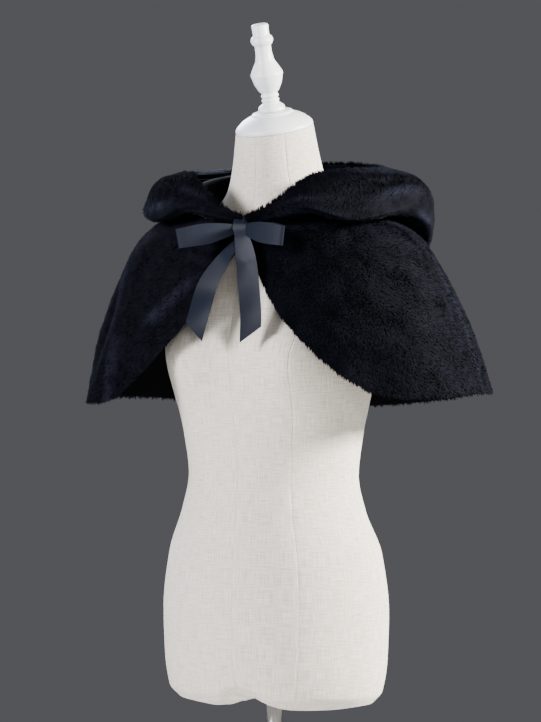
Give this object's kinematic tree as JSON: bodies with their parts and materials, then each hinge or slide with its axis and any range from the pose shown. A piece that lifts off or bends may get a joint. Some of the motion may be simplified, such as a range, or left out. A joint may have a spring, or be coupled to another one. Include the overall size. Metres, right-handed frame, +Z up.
{
  "type": "hooded cape on a dress form",
  "caption": "Short hooded fur cloth cape, hood laid back, tied with a satin ribbon bow, on a limbless linen dress form with turned neck cap and finial, pole and round foot.",
  "frame": {"origin": "centre of the foot's flat underside, on the pole's axis", "axes": "+Z up along the pole, -Y the form's front, +X the wearer's left"},
  "size_m": [0.5495, 0.4617, 1.6392],
  "materials": {
    "fur_pile_black": "short dense black pile",
    "satin_lining_black": "black satin",
    "satin_ribbon_charcoal": "charcoal satin ribbon",
    "linen_cream": "plain woven cream linen",
    "painted_wood_white": "white paint, half matt",
    "brushed_steel": "brushed"
  },
  "bodies": {
    "root": {"stand_foot": "brushed_steel", "stand_pole": "brushed_steel", "dress_form": "linen_cream", "neck_cap": "painted_wood_white", "finial": "painted_wood_white", "cape_front_left": "fur_pile_black", "cape_front_right": "fur_pile_black", "cape_back": "fur_pile_black", "back_lining": "satin_lining_black", "hood_left": "fur_pile_black", "hood_right": "fur_pile_black", "hood_lining_left": "satin_lining_black", "hood_lining_right": "satin_lining_black", "bow_knot": "satin_ribbon_charcoal", "bow_loop_left": "satin_ribbon_charcoal", "bow_loop_right": "satin_ribbon_charcoal", "bow_tail_left": "satin_ribbon_charcoal", "bow_tail_right": "satin_ribbon_charcoal"}
  },
  "joints": []
}
